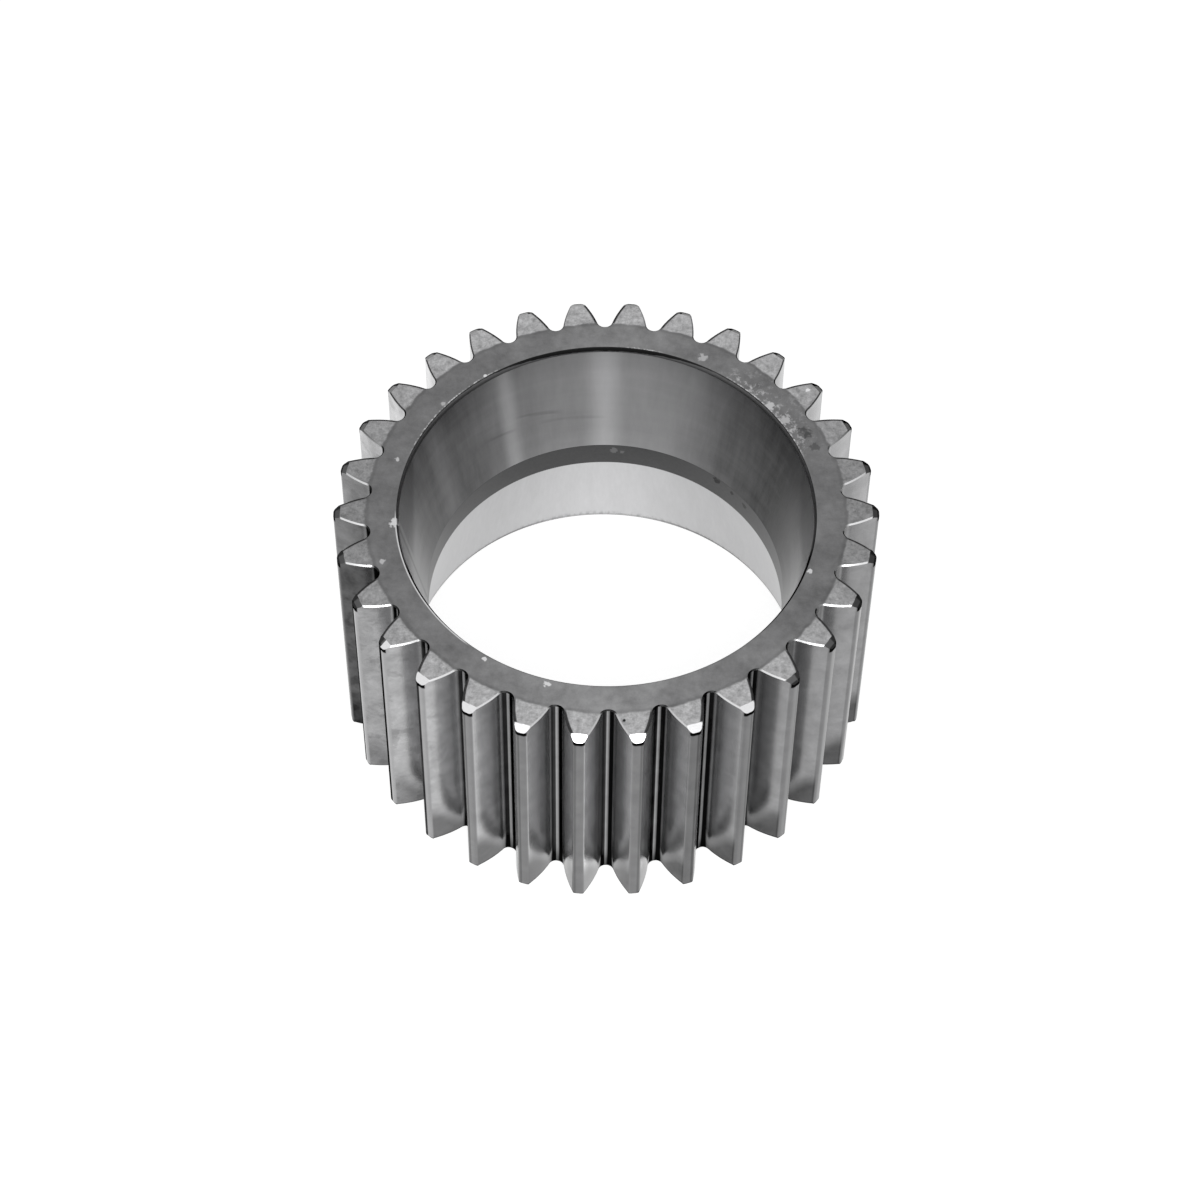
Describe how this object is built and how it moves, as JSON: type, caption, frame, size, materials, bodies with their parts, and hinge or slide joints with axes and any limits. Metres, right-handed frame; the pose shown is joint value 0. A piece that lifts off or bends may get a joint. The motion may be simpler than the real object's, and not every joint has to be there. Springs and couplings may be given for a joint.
{
  "type": "planet gear",
  "caption": "Wide straight-toothed planet gear with involute teeth, whose bore narrows from both ends to a plain centre land, as raceways for tapered rollers.",
  "frame": {"origin": "centre of the lower end face, on the gear's axis", "axes": "+Z along the gear's axis, up out of the face it rests on; +X through the middle of a tooth"},
  "size_m": [0.112, 0.1116, 0.06],
  "materials": {
    "gear_steel": "hardened gear steel: ground raceways, turned hub faces, grey satin teeth with light wear"
  },
  "bodies": {
    "root": {"planet_gear": "gear_steel"}
  },
  "joints": []
}
